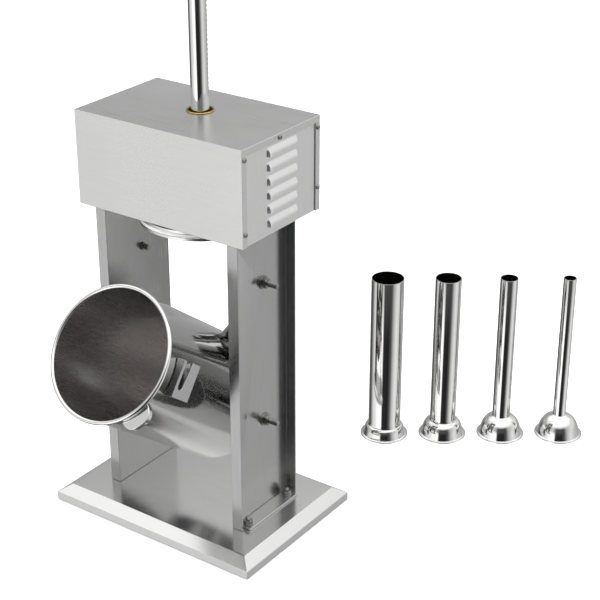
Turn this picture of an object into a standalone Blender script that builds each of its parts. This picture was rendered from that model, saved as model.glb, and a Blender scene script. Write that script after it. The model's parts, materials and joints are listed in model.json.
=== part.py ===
"""Electric vertical sausage stuffer with a tilting cylinder and four loose stuffing tubes.

The numbers below are for the 219 mm frame of the range. This machine is the 142 mm frame, which
is the same design at SIZE, so the whole of it hangs under one scaled empty.

Metres, +Z up. The origin is on the surface it stands on, in the middle of the floor it covers
with its tubes; every piece is placed from the piston rod's axis, which stands at ROD_PLACE.
The cylinder is filled from the -Y side, where it tilts down. The controls are at +Y, and the
outlet leaves there too, turned a little towards the right column.
"""
import math

import bmesh
import bpy

GAP = 0.0004                     # kept between pieces that touch
SIZE = 0.65
ROD_PLACE = (-0.0794, -0.0946, 0)

# base
BASE_X, BASE_Y = 0.388, 0.260    # flat top of the pan
BASE_MID_Y = -0.025
BASE_TOP = 0.030
BASE_SLOPE = 0.020               # how far the sloped edge reaches out
SKIRT_TOP, SKIRT_BOTTOM = 0.016, 0.0015
PAN_WALL = 0.002
FOOT_RADIUS = 0.014

# columns
WEB_INNER = 0.127                # inner face of each column's web, from the rod's axis
WEB = 0.003
COLUMN_FLANGE = 0.021
COLUMN_Y, COLUMN_MID_Y = 0.158, -0.022

# head
HEAD_X, HEAD_Y, HEAD_Z = 0.340, 0.208, 0.163
HEAD_MID_Y = -0.010
HEAD_BOTTOM = 0.565
HEAD_TOP = HEAD_BOTTOM + HEAD_Z
SHEET = 0.0015
RETURN = 0.012                   # width of the covers' folded edges
CHASSIS = 0.004
COLUMN_TOP = HEAD_BOTTOM + 0.0017

# cylinder, in its own upright frame about the pivot
PIVOT_Y, PIVOT_Z = -0.010, 0.203
TILT = math.radians(53.5)
BORE = 0.108
TUBE_WALL = 0.0015
TUBE = BORE + TUBE_WALL
AXIS_Y = -PIVOT_Y                # the cylinder's axis, measured from the pivot
MOUTH_Z, FLOOR_Z = 0.303, -0.042
LIP = 0.00375                    # radius of the rolled lip
CATCH_Z = 0.258                  # height of the catch slots above the pivot
CATCH_FLARE = 0.0075             # how far their lower edge drops on the way out
OUTLET_Z = 0.009
OUTLET_OUTER, OUTLET_INNER = 0.0462, 0.0385
RING_NUT = 0.0540
OUTLET_END = TUBE + 0.034        # from the cylinder's axis
OUTLET_TURN = math.radians(-25)  # from straight back towards the right column

# piston and rod
PISTON_BOTTOM, PISTON_TOP = 0.543, 0.560
PISTON_RADIUS = 0.1072
ROD = 0.015
ROD_TOP = 1.075
RACK_MODULE = 0.0025
RACK_PITCH = math.pi * RACK_MODULE
RACK_FLAT = 0.0115               # the toothed flat, from the rod's axis
TOOTH_DEPTH = 2.25 * RACK_MODULE

# gear train
PINION_TEETH = 14
PINION_RADIUS = PINION_TEETH * RACK_MODULE / 2
SHAFT_Y = RACK_FLAT - RACK_MODULE + PINION_RADIUS
SHAFT_Z = 0.645
SPUR_MODULE = 0.002
WHEEL_TEETH, MOTOR_TEETH = 45, 15
MOTOR_Y = SHAFT_Y - SPUR_MODULE * (WHEEL_TEETH + MOTOR_TEETH) / 2 - 0.0002
MOTOR_RADIUS = 0.044
SLACK = 0.0008                   # play between meshing teeth

# stuffing tubes, standing in a row
NOZZLES = (("40mm", 0.0308, 0.0206), ("32mm", 0.0246, 0.0292), ("22mm", 0.0169, 0.0362), ("16mm", 0.0123, 0.0378))
NOZZLE_START = (0.1377, 0.3656)
NOZZLE_ANGLE = math.radians(35.3)
NOZZLE_STEP = 0.1124
NOZZLE_HEIGHT = 0.329
NOZZLE_FLANGE, NOZZLE_DOME = 0.0454, 0.0394


def new_collection(name):
    collection = bpy.data.collections.new(name)
    bpy.context.scene.collection.children.link(collection)
    return collection


def material(name, colour, roughness, metallic):
    made = bpy.data.materials.new(name)
    made.use_nodes = True
    shader = made.node_tree.nodes["Principled BSDF"]
    shader.inputs["Base Color"].default_value = (*colour, 1.0)
    shader.inputs["Roughness"].default_value = roughness
    shader.inputs["Metallic"].default_value = metallic
    return made


def put(obj, collection, paint=None):
    for owner in list(obj.users_collection):
        owner.objects.unlink(obj)
    collection.objects.link(obj)
    if paint:
        obj.data.materials.append(material(obj.name, *paint))
    return obj


def smooth(obj):
    obj.data.shade_smooth()
    obj.data.set_sharp_from_angle(angle=math.radians(35))
    return obj


def box(name, low, high, collection, paint=None):
    """A box between two corners, with its origin at its middle."""
    size = [b - a for a, b in zip(low, high)]
    middle = [(a + b) / 2 for a, b in zip(low, high)]
    bpy.ops.mesh.primitive_cube_add(size=1, location=middle)
    obj = bpy.context.object
    obj.name = name
    obj.scale = size
    bpy.ops.object.transform_apply(location=False, rotation=False, scale=True)
    return put(obj, collection, paint)


def rod(name, radius, start, end, collection, paint=None, sides=24):
    """A cylinder between two points that differ along one axis."""
    middle = [(a + b) / 2 for a, b in zip(start, end)]
    length = math.dist(start, end)
    along = max(range(3), key=lambda i: abs(end[i] - start[i]))
    turn = ((0, math.pi / 2, 0), (math.pi / 2, 0, 0), (0, 0, 0))[along]
    bpy.ops.mesh.primitive_cylinder_add(
        vertices=sides, radius=radius, depth=length, location=middle, rotation=turn)
    obj = bpy.context.object
    obj.name = name
    bpy.ops.object.transform_apply(location=False, rotation=True, scale=False)
    return put(obj, collection, paint)


def turned(name, profile, collection, paint=None, sides=24, ring=False, along="Z"):
    """A profile of (radius, height) points turned about the object's own axis."""
    mesh = bpy.data.meshes.new(name)
    bm = bmesh.new()
    points = [bm.verts.new((radius, 0, height)) for radius, height in profile]
    for a, b in zip(points, points[1:]):
        bm.edges.new((a, b))
    if ring:
        bm.edges.new((points[-1], points[0]))
    bm.to_mesh(mesh)
    bm.free()
    obj = bpy.data.objects.new(name, mesh)
    screw = obj.modifiers.new("Turn", "SCREW")
    screw.steps = sides
    screw.render_steps = sides
    screw.use_merge_vertices = True
    screw.merge_threshold = 0.00001
    obj.rotation_euler = {"Z": (0, 0, 0), "X": (0, math.pi / 2, 0), "Y": (-math.pi / 2, 0, 0)}[along]
    return put(obj, collection, paint)


def outline(name, points, thickness, collection, paint=None):
    """A flat shape in the local XY plane, centred on it in thickness."""
    curve = bpy.data.curves.new(name, "CURVE")
    curve.dimensions = "2D"
    curve.fill_mode = "BOTH"
    curve.extrude = thickness / 2
    spline = curve.splines.new("POLY")
    spline.points.add(len(points) - 1)
    for point, (x, y) in zip(spline.points, points):
        point.co = (x, y, 0, 1)
    spline.use_cyclic_u = True
    guide = bpy.data.objects.new(name, curve)
    bpy.context.scene.collection.objects.link(guide)
    bpy.context.view_layer.update()
    mesh = bpy.data.meshes.new_from_object(guide.evaluated_get(bpy.context.evaluated_depsgraph_get()))
    bpy.data.objects.remove(guide)
    bm = bmesh.new()
    bm.from_mesh(mesh)
    bmesh.ops.remove_doubles(bm, verts=bm.verts, dist=0.00001)
    bm.to_mesh(mesh)
    bm.free()
    obj = bpy.data.objects.new(name, mesh)
    return put(obj, collection, paint)


def change(obj, other, operation):
    """Cuts obj with other, or joins other to it; other then only guides."""
    modifier = obj.modifiers.new(other.name, "BOOLEAN")
    modifier.operation = operation
    modifier.solver = "EXACT"
    modifier.object = other
    other.hide_render = True
    other.display_type = "WIRE"
    return obj


def cut(obj, *others):
    for other in others:
        change(obj, other, "DIFFERENCE")
    return obj


def join(obj, *others):
    for other in others:
        change(obj, other, "UNION")
    return obj


def bevel(obj, width, segments=2, angle=40):
    modifier = obj.modifiers.new("Edges", "BEVEL")
    modifier.width = width
    modifier.segments = segments
    modifier.limit_method = "ANGLE"
    modifier.angle_limit = math.radians(angle)
    return obj


def under(parent, *children):
    for child in children:
        child.parent = parent


def pivot(name, place, collection, turn=(0, 0, 0)):
    empty = bpy.data.objects.new(name, None)
    empty.location = place
    empty.rotation_euler = turn
    collection.objects.link(empty)
    return empty


def arc(centre, radius, start, end, steps):
    """Points on an arc in degrees, both ends included."""
    angles = [math.radians(start + (end - start) * i / steps) for i in range(steps + 1)]
    return [(centre[0] + radius * math.cos(a), centre[1] + radius * math.sin(a)) for a in angles]


def gear_outline(teeth, module, slack, first):
    """A closed outline of trapezoid teeth, the first centred on the angle first, each thinned by slack."""
    pitch = teeth * module / 2
    points = []
    for tooth in range(teeth):
        middle = first + 2 * math.pi * tooth / teeth
        for radius, half in ((pitch - 1.25 * module, 0.40), (pitch + module * 0.95, 0.13)):
            points.append((radius, middle - half * 2 * math.pi / teeth + slack / pitch / 2))
        for radius, half in ((pitch + module * 0.95, 0.13), (pitch - 1.25 * module, 0.40)):
            points.append((radius, middle + half * 2 * math.pi / teeth - slack / pitch / 2))
    return [(r * math.cos(a), r * math.sin(a)) for r, a in points]


STEEL = ((0.62, 0.62, 0.61), 0.28, 1.0)
POLISHED = ((0.72, 0.72, 0.72), 0.12, 1.0)
BRASS = ((0.72, 0.55, 0.22), 0.25, 1.0)
ZINC = ((0.50, 0.50, 0.50), 0.40, 1.0)
IRON = ((0.20, 0.20, 0.21), 0.55, 0.8)
RUBBER = ((0.03, 0.03, 0.03), 0.80, 0.0)
PLASTIC = ((0.05, 0.05, 0.05), 0.45, 0.0)
WHITE = ((0.85, 0.85, 0.83), 0.40, 0.0)


def make_base(parts, cutters):
    """The folded pan: a flat top, a sloped edge and a short skirt, open below."""
    def shell(name, inset, drop, bottom, collection, paint=None):
        levels = (
            (BASE_X / 2 - inset * 0.6, BASE_Y / 2 - inset * 0.6, BASE_TOP - drop),
            (BASE_X / 2 + BASE_SLOPE - inset, BASE_Y / 2 + BASE_SLOPE - inset, SKIRT_TOP - drop * 0.6),
            (BASE_X / 2 + BASE_SLOPE - inset, BASE_Y / 2 + BASE_SLOPE - inset, bottom),
        )
        obj = box(name, (-1, -1, 0), (1, 1, 1), collection, paint)
        bm = bmesh.new()
        rings = []
        for x, y, z in levels:
            rings.append([bm.verts.new((sx * x, sy * y + BASE_MID_Y, z))
                          for sx, sy in ((-1, -1), (1, -1), (1, 1), (-1, 1))])
        bm.faces.new(rings[0])
        bm.faces.new(list(reversed(rings[-1])))
        for upper, lower in zip(rings, rings[1:]):
            for i in range(4):
                bm.faces.new((upper[i], lower[i], lower[(i + 1) % 4], upper[(i + 1) % 4]))
        bm.to_mesh(obj.data)
        bm.free()
        obj.location = (0, 0, 0)
        return obj

    pan = shell("base_pan", 0, 0, SKIRT_BOTTOM, parts, STEEL)
    cut(pan, shell("pan_inside", PAN_WALL, PAN_WALL, -0.01, cutters))
    for side_x in (-1, 1):
        for side_y in (-1, 1):
            name = f"rubber_foot_{'left' if side_x < 0 else 'right'}_{'front' if side_y < 0 else 'back'}"
            x, y = side_x * (BASE_X / 2 - 0.020), side_y * (BASE_Y / 2 - 0.020) + BASE_MID_Y
            foot = turned(name, [(0, BASE_TOP - PAN_WALL - GAP), (0.010, BASE_TOP - PAN_WALL - GAP),
                                 (FOOT_RADIUS, 0.003), (FOOT_RADIUS - 0.002, 0), (0, 0)],
                          parts, RUBBER, sides=16)
            foot.location = (x, y, 0)
            smooth(foot)


def hexagon(name, flats, x_low, x_high, hole, place, parts, cutters, paint):
    """A hexagon nut along X with a round hole, at (y, z)."""
    nut = rod(name, flats / math.sqrt(3), (x_low, *place), (x_high, *place), parts, paint, sides=6)
    if hole:
        cut(nut, rod(name + "_hole", hole, (x_low - 0.01, *place), (x_high + 0.01, *place), cutters, sides=16))
    return nut


def make_column(side, parts, cutters):
    """One folded channel, open outwards, with its foot plate, pins, nuts and foot bolts."""
    name = "left" if side < 0 else "right"
    low_y, high_y = COLUMN_MID_Y - COLUMN_Y / 2, COLUMN_MID_Y + COLUMN_Y / 2
    outer = WEB_INNER + COLUMN_FLANGE

    def span(x_a, x_b):
        return (x_a, x_b) if side > 0 else (-x_b, -x_a)

    x_low, x_high = span(WEB_INNER, outer)
    column = box(f"column_{name}", (x_low, low_y, BASE_TOP + GAP), (x_high, high_y, COLUMN_TOP), parts, STEEL)
    x_low, x_high = span(WEB_INNER + WEB, outer + 0.02)
    cut(column, box(f"channel_{name}", (x_low, low_y + WEB, 0), (x_high, high_y - WEB, 1), cutters))

    x_low, x_high = span(WEB_INNER + WEB + GAP, outer + 0.010)
    plate = box(f"foot_plate_{name}", (x_low, low_y + 0.010, BASE_TOP + GAP),
                (x_high, high_y - 0.010, BASE_TOP + 0.0035), parts, STEEL)
    bolt_x = side * (WEB_INNER + 0.016)
    for end, bolt_y in (("front", low_y + 0.022), ("back", high_y - 0.022)):
        top = BASE_TOP + 0.0035
        bolt = turned(f"foot_bolt_{name}_{end}",
                      [(0, top + 0.014), (0.0035, top + 0.014), (0.004, top + 0.013), (0.004, top + 0.0085),
                       (0.0072, top + 0.0085), (0.0072, top + 0.0018), (0.009, top + 0.0018),
                       (0.009, top + GAP), (0, top + GAP)], parts, ZINC, sides=12)
        bolt.location = (bolt_x, bolt_y, 0)

    for level, height, inside in (("pivot", PIVOT_Z, 0.006), ("catch", PIVOT_Z + CATCH_Z, 0.005)):
        collar = 0.009 if level == "pivot" else 0.0075
        tip = 0.114
        profile = [(0, -side * tip), (inside - 0.0005, -side * tip), (inside, -side * (tip + 0.0005)),
                   (inside, -side * 0.1237), (collar, -side * 0.1237), (collar, -side * 0.1267),
                   (0.005, -side * 0.1267), (0.005, -side * 0.158), (0.004, -side * 0.159), (0, -side * 0.159)]
        if side > 0:
            profile = [(r, -z) for r, z in reversed(profile)]
        else:
            profile = [(r, -z) for r, z in profile]
        pin = turned(f"{level}_pin_{name}", profile, parts, POLISHED, sides=16, along="X")
        pin.location = (0, PIVOT_Y, height)
        smooth(pin)
        x_low, x_high = span(WEB_INNER - 0.01, outer + 0.02)
        cut(column, rod(f"{level}_hole_{name}", 0.0053, (x_low, PIVOT_Y, height),
                        (x_high, PIVOT_Y, height), cutters, sides=20))
        x_low, x_high = span(WEB_INNER + WEB + GAP, WEB_INNER + WEB + 0.0105)
        nut = hexagon(f"{level}_nut_{name}", 0.016, x_low, x_high, 0.0053, (PIVOT_Y, height),
                      parts, cutters, ZINC)
        x_low, x_high = span(WEB_INNER + WEB + GAP, WEB_INNER + WEB + 0.0025)
        join(nut, cut(rod(f"{level}_washer_{name}", 0.0115, (x_low, PIVOT_Y, height),
                          (x_high, PIVOT_Y, height), cutters, sides=20),
                      rod(f"{level}_washer_hole_{name}", 0.0053, (x_low - 0.01, PIVOT_Y, height),
                          (x_high + 0.01, PIVOT_Y, height), cutters, sides=16)))
    return plate


def make_cylinder(parts, cutters):
    """The deep-drawn cylinder on its pivot, with its brackets, pull, outlet and ring nut."""
    turn = pivot("cylinder_pivot", (0, PIVOT_Y, PIVOT_Z), parts, (TILT, 0, 0))
    inner_floor = FLOOR_Z + 0.002
    lip_z = MOUTH_Z - LIP
    lip_r = BORE + LIP
    profile = [(0, inner_floor), (BORE - 0.007, inner_floor), (BORE, inner_floor + 0.007)]
    profile += arc((lip_r, lip_z), LIP, 180, -120, 5)
    profile += [(TUBE, lip_z - 0.0045), (TUBE, FLOOR_Z + 0.008), (TUBE - 0.008, FLOOR_Z), (0, FLOOR_Z)]
    tube = turned("cylinder", profile, parts, POLISHED, sides=64)
    tube.location = (0, AXIS_Y, 0)
    smooth(tube)
    outlet = pivot("outlet_axis", (0, AXIS_Y, OUTLET_Z), parts, (0, 0, OUTLET_TURN))
    hole = rod("outlet_hole", OUTLET_INNER, (0, TUBE - 0.03, 0), (0, TUBE + 0.03, 0), cutters, sides=24)
    under(outlet, hole)
    cut(tube, hole)
    pieces = [tube, outlet]

    def around(name):
        guide = rod(name, TUBE + GAP, (0, AXIS_Y, -0.1), (0, AXIS_Y, 0.4), cutters, sides=64)
        pieces.append(guide)
        return guide

    for side, name in ((-1, "left"), (1, "right")):
        def span(x_a, x_b):
            return (x_a, x_b) if side > 0 else (-x_b, -x_a)

        # a folded plate that stands off the wall, with a slot open to the back for the column's upper pin
        low_z, high_z = CATCH_Z - 0.033, CATCH_Z + 0.013
        x_low, x_high = span(0.098, 0.1215)
        catch = box(f"catch_bracket_{name}", (x_low, -0.021, low_z), (x_high, 0.041, high_z), parts, STEEL)
        x_low, x_high = span(0.090, 0.1187)
        hollow = box(f"catch_hollow_{name}", (x_low, -0.03, low_z + 0.0025), (x_high, 0.05, high_z - 0.0025), cutters)
        x_low, x_high = span(0.100, 0.130)
        slot = box(f"catch_slot_{name}", (x_low, 0, CATCH_Z - 0.0065), (x_high, 0.06, CATCH_Z + 0.0065), cutters)
        for vertex in slot.data.vertices:
            if vertex.co.y > 0 and vertex.co.z < 0:
                vertex.co.z -= CATCH_FLARE
        end = rod(f"catch_slot_end_{name}", 0.0065, (x_low, 0, CATCH_Z), (x_high, 0, CATCH_Z), cutters, sides=24)
        cut(catch, hollow, slot, end, around(f"catch_fit_{name}"))
        pieces.extend((catch, hollow, slot, end))

        # a boss that turns on the column's lower pin
        x_low, x_high = span(0.095, 0.1234)
        boss = rod(f"pivot_boss_{name}", 0.018, (x_low, 0, 0), (x_high, 0, 0), parts, STEEL, sides=32)
        x_low, x_high = span(0.080, 0.140)
        bore = rod(f"pivot_bore_{name}", 0.0063, (x_low, 0, 0), (x_high, 0, 0), cutters, sides=24)
        cut(boss, bore, around(f"boss_fit_{name}"))
        smooth(boss)
        pieces.extend((boss, bore))

    # the pull under the lip, at the right front
    reach, half, depth = 0.025, 0.026, 0.010
    shape = [(TUBE - 0.012, -half)] + arc((TUBE + reach - 0.020, -half + 0.020), 0.020, -90, 0, 6)
    shape += arc((TUBE + reach - 0.020, half - 0.020), 0.020, 0, 90, 6) + [(TUBE - 0.012, half)]
    pull = outline("cylinder_pull", shape, depth, parts, POLISHED)
    inner = [(x - 0.0025 if x > TUBE else x, y * 0.90) for x, y in shape]
    scoop = outline("pull_scoop", inner, depth, cutters)
    for obj, drop in ((pull, 0), (scoop, 0.0025)):
        obj.location = (0, AXIS_Y, MOUTH_Z - 2 * LIP - 0.0012 - depth / 2 - drop)
        obj.rotation_euler = (0, 0, math.radians(-42))
    cut(pull, scoop, around("pull_fit"))
    pieces.extend((pull, scoop))

    # the outlet: a threaded spigot, and the ring nut with room behind its lip for a stuffing tube's flange
    start = TUBE - 0.015
    spigot = turned("outlet_spigot",
                    [(OUTLET_INNER, OUTLET_END - start), (OUTLET_OUTER - 0.001, OUTLET_END - start),
                     (OUTLET_OUTER, OUTLET_END - start - 0.001), (OUTLET_OUTER, 0), (OUTLET_INNER, 0)],
                    parts, POLISHED, sides=24, ring=True, along="Y")
    spigot.location = (0, start, 0)
    smooth(spigot)
    cut(spigot, around("spigot_fit"))
    nut_start, nut_end = OUTLET_END - 0.0165, OUTLET_END + 0.0085
    length = nut_end - nut_start
    ring_nut = turned("outlet_ring_nut",
                      [(0.0415, length), (RING_NUT - 0.002, length), (RING_NUT, length - 0.002), (RING_NUT, 0.002),
                       (RING_NUT - 0.002, 0), (OUTLET_OUTER + GAP, 0), (OUTLET_OUTER + GAP, length - 0.0046),
                       (0.0415, length - 0.0046)],
                      parts, POLISHED, sides=24, ring=True, along="Y")
    ring_nut.location = (0, nut_start, 0)
    for notch in range(6):
        angle = math.radians(60 * notch + 30)
        x, z = 0.0575 * math.cos(angle), 0.0575 * math.sin(angle)
        grip = rod(f"grip_{notch}", 0.0065, (x, nut_start - 0.01, z), (x, nut_end + 0.01, z), cutters, sides=8)
        cut(ring_nut, grip)
        under(outlet, grip)
    under(outlet, spigot, ring_nut)
    under(turn, *pieces)


def make_piston(parts, cutters):
    """The round rack, the piston with its seal and nut, and the air release valve."""
    seat = PISTON_BOTTOM + 0.009
    disc = turned("piston", [
        (0.0083, PISTON_TOP), (PISTON_RADIUS, PISTON_TOP),
        (PISTON_RADIUS, PISTON_TOP - 0.005), (PISTON_RADIUS - 0.004, PISTON_TOP - 0.005),
        (PISTON_RADIUS - 0.004, PISTON_BOTTOM + 0.005), (PISTON_RADIUS, PISTON_BOTTOM + 0.005),
        (PISTON_RADIUS, PISTON_BOTTOM), (0.017, PISTON_BOTTOM), (0.017, seat), (0.0083, seat)],
                  parts, POLISHED, sides=48, ring=True)
    smooth(disc)
    low, high = PISTON_BOTTOM + 0.005 + GAP, PISTON_TOP - 0.005 - GAP
    inner, outer = PISTON_RADIUS - 0.004 + GAP, BORE - GAP
    seal = turned("piston_seal", [(inner, high), (outer, high), (outer, low), (inner, low)],
                  parts, WHITE, sides=48, ring=True)
    smooth(seal)
    nut = turned("piston_nut", [(0.0062, seat - GAP), (0.0145, seat - GAP), (0.0145, PISTON_BOTTOM + 0.0025),
                                (0.0125, PISTON_BOTTOM + 0.0005), (0.0062, PISTON_BOTTOM + 0.0005)],
                 parts, POLISHED, sides=24, ring=True)
    smooth(nut)

    shaft = turned("piston_rod", [
        (0, ROD_TOP), (ROD - 0.0015, ROD_TOP), (ROD, ROD_TOP - 0.0015), (ROD, PISTON_TOP + GAP),
        (0.008, PISTON_TOP + GAP), (0.008, seat + 0.0005), (0.0059, seat + 0.0005),
        (0.0059, PISTON_BOTTOM + 0.001), (0, PISTON_BOTTOM + 0.001)], parts, POLISHED, sides=20)
    smooth(shaft)
    teeth = 50
    first = SHAFT_Z - RACK_PITCH * 4.25
    points = [(RACK_FLAT, first - RACK_PITCH / 2)]
    for tooth in range(teeth):
        low = first + RACK_PITCH * tooth
        points += [(RACK_FLAT, low - RACK_PITCH * 0.16), (RACK_FLAT - TOOTH_DEPTH, low + RACK_PITCH * 0.11),
                   (RACK_FLAT - TOOTH_DEPTH, low + RACK_PITCH * 0.39), (RACK_FLAT, low + RACK_PITCH * 0.66)]
    top = first + RACK_PITCH * (teeth - 0.10)
    points += [(RACK_FLAT, top), (0.03, top), (0.03, first - RACK_PITCH / 2)]
    rack = outline("rack_teeth", points, 0.04, cutters)
    rack.rotation_euler = (math.pi / 2, 0, math.pi / 2)
    cut(shaft, rack)

    # the valve stands in the piston towards its edge
    angle, radius = math.radians(-63), 0.090
    x, y = radius * math.cos(angle), radius * math.sin(angle)
    cut(disc, rod("valve_hole", 0.0043, (x, y, PISTON_BOTTOM - 0.01), (x, y, PISTON_TOP + 0.01), cutters, sides=16))
    valve = turned("air_valve", [(0, PISTON_TOP + 0.0035), (0.006, PISTON_TOP + 0.0035),
                                 (0.0065, PISTON_TOP + 0.003), (0.0065, PISTON_TOP + 0.0015),
                                 (0.004, PISTON_TOP + 0.0015), (0.004, PISTON_BOTTOM), (0, PISTON_BOTTOM)],
                   parts, WHITE, sides=16)
    valve.location = (x, y, 0)
    smooth(valve)


def make_side_panel(side, parts, cutters):
    """A flat panel behind the cover's folded edges, with six pressed louvres that open downwards."""
    name = "left" if side < 0 else "right"
    face = side * (HEAD_X / 2 - SHEET - GAP)
    x_low, x_high = sorted((face, face - side * 0.0013))
    y_low, y_high = HEAD_MID_Y - HEAD_Y / 2 + 0.002, HEAD_MID_Y + HEAD_Y / 2 - 0.002
    panel = box(f"side_panel_{name}", (x_low, y_low, HEAD_BOTTOM + 0.001),
                (x_high, y_high, HEAD_TOP - SHEET - 0.001), parts, STEEL)
    first, pitch, height, out = 0.581, 0.0234, 0.013, 0.0055
    start_y, end_y = -0.048, 0.033
    for louvre in range(6):
        low = first + pitch * louvre
        hood = box(f"hood_{name}_{louvre}", (x_low, start_y, low), (x_high, end_y, low + height), cutters)
        for vertex in hood.data.vertices:
            outward = vertex.co.x * side > 0
            if outward and vertex.co.z < 0:
                vertex.co.x += side * out
            elif outward:
                vertex.co.x += side * 0.0003
        slot = box(f"slot_{name}_{louvre}", (x_low, start_y + 0.003, low - 0.001),
                   (x_high, end_y - 0.003, low + 0.004), cutters)
        for vertex in slot.data.vertices:
            vertex.co.x += side * (0.0035 if vertex.co.x * side > 0 else -0.003)
        join(panel, hood)
        cut(panel, slot)
    return panel


def make_head(parts, cutters):
    """The head's chassis, covers, bushes, gear train, motor and controls."""
    low_x, high_x = -HEAD_X / 2, HEAD_X / 2
    low_y, high_y = HEAD_MID_Y - HEAD_Y / 2, HEAD_MID_Y + HEAD_Y / 2

    chassis_low = COLUMN_TOP + GAP
    chassis_top = chassis_low + CHASSIS
    chassis = box("head_chassis", (low_x + 0.0035, low_y + SHEET + GAP, chassis_low),
                  (high_x - 0.0035, high_y - SHEET - GAP, chassis_top), parts, ZINC)
    cut(chassis, rod("chassis_hole", 0.0203, (0, 0, 0.5), (0, 0, 0.6), cutters, sides=32))
    lower = turned("lower_rod_bush", [(ROD + GAP, chassis_top + 0.010), (0.020, chassis_top + 0.010),
                                      (0.020, chassis_low), (ROD + GAP, chassis_low)],
                   parts, BRASS, sides=24, ring=True)
    smooth(lower)

    cover = box("head_cover", (low_x, low_y, HEAD_BOTTOM), (high_x, high_y, HEAD_TOP), parts, STEEL)
    cut(cover, box("cover_inside", (low_x + SHEET, low_y + SHEET, 0.5),
                   (high_x - SHEET, high_y + 0.1, HEAD_TOP - SHEET), cutters),
        box("cover_sides", (low_x - 0.1, low_y + RETURN, 0.5),
            (high_x + 0.1, high_y + 0.1, HEAD_TOP - RETURN), cutters),
        rod("cover_hole", 0.0208, (0, 0, HEAD_TOP - 0.05), (0, 0, HEAD_TOP + 0.05), cutters, sides=32))
    upper = turned("upper_rod_bush", [(0.0185, HEAD_TOP + 0.0035), (0.0220, HEAD_TOP + 0.0035),
                                      (0.0232, HEAD_TOP + 0.0023), (0.0232, HEAD_TOP + GAP), (0.0205, HEAD_TOP + GAP),
                                      (0.0205, HEAD_TOP - 0.012), (ROD + GAP, HEAD_TOP - 0.012),
                                      (ROD + GAP, HEAD_TOP - 0.002)],
                   parts, BRASS, sides=28, ring=True)
    smooth(upper)

    back = box("rear_cover", (low_x, high_y - RETURN, HEAD_BOTTOM),
               (high_x, high_y, HEAD_TOP - RETURN - GAP), parts, STEEL)
    cut(back, box("rear_inside", (low_x + SHEET, high_y - 0.1, 0.5),
                  (high_x - SHEET, high_y - SHEET, HEAD_TOP), cutters))
    top_strip = box("rear_top_strip", (low_x + 0.0035, high_y - SHEET, 0.7),
                    (high_x - 0.0035, high_y, HEAD_TOP - SHEET - GAP), cutters)
    join(back, top_strip)

    for side in (-1, 1):
        make_side_panel(side, parts, cutters)

    # the two frames that carry the pinion shaft
    for side, name in ((-1, "left"), (1, "right")):
        x_low, x_high = sorted((side * 0.026, side * 0.032))
        frame = box(f"gear_frame_{name}", (x_low, -0.030, chassis_top + GAP), (x_high, 0.062, 0.690), parts, ZINC)
        cut(frame, rod(f"bearing_seat_{name}", 0.0145, (x_low - 0.01, SHAFT_Y, SHAFT_Z),
                       (x_high + 0.01, SHAFT_Y, SHAFT_Z), cutters, sides=32))
        bearing = turned(f"shaft_bearing_{name}", [(0.0065, 0.0028), (0.0142, 0.0028), (0.0142, -0.0028),
                                                   (0.0065, -0.0028)], parts, POLISHED, sides=24, ring=True,
                         along="X")
        bearing.location = (side * 0.029, SHAFT_Y, SHAFT_Z)
        smooth(bearing)

    # the pinion, its shaft and the big wheel turn together
    turn = pivot("pinion_axis", (0, SHAFT_Y, SHAFT_Z), parts)
    facing = (0, math.pi / 2, 0)
    # the gear outlines lie in XY, so they are stood up to face along X
    pinion = outline("rack_pinion", gear_outline(PINION_TEETH, RACK_MODULE, SLACK, -math.pi / 2), 0.026, parts, IRON)
    pinion.rotation_euler = facing
    wheel = outline("drive_wheel", gear_outline(WHEEL_TEETH, SPUR_MODULE, SLACK, -math.pi / 2), 0.009, parts, IRON)
    wheel.rotation_euler = facing
    wheel.location = (0.0435, 0, 0)
    for gear, x in ((pinion, 0), (wheel, 0.0435)):
        bore = rod(gear.name + "_bore", 0.0063, (x - 0.03, 0, 0), (x + 0.03, 0, 0), cutters, sides=20)
        cut(gear, bore)
        under(turn, gear, bore)
    shaft = rod("pinion_shaft", 0.006, (-0.036, 0, 0), (0.0495, 0, 0), parts, POLISHED, sides=20)
    smooth(shaft)
    under(turn, shaft)

    # the motor hangs on its own bracket beside the wheel
    bracket = box("motor_bracket", (0.0505, MOTOR_Y - 0.048, chassis_top + GAP),
                  (0.0535, MOTOR_Y + 0.046, 0.692), parts, ZINC)
    cut(bracket, rod("bracket_hole", 0.012, (0.04, MOTOR_Y, SHAFT_Z), (0.07, MOTOR_Y, SHAFT_Z), cutters, sides=24))
    motor = rod("gear_motor", MOTOR_RADIUS, (0.0538, MOTOR_Y, SHAFT_Z), (0.150, MOTOR_Y, SHAFT_Z),
                parts, IRON, sides=24)
    bevel(motor, 0.003, 1, angle=60)
    cut(motor, rod("motor_bore", 0.0065, (0.05, MOTOR_Y, SHAFT_Z), (0.078, MOTOR_Y, SHAFT_Z), cutters, sides=20))
    motor_turn = pivot("motor_axis", (0, MOTOR_Y, SHAFT_Z), parts)
    small = outline("motor_pinion", gear_outline(MOTOR_TEETH, SPUR_MODULE, SLACK,
                                                 math.pi / 2 + math.pi / MOTOR_TEETH), 0.010, parts, IRON)
    small.rotation_euler = facing
    small.location = (0.0435, 0, 0)
    spindle = rod("motor_spindle", 0.006, (0.040, 0, 0), (0.076, 0, 0), cutters, sides=20)
    join(small, spindle)
    under(motor_turn, small, spindle)

    control = box("speed_control_unit", (-0.150, -0.085, chassis_top + GAP), (-0.105, -0.010, 0.612), parts, PLASTIC)
    bevel(control, 0.002, 1)

    make_controls(back, high_y, parts, cutters)


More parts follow.
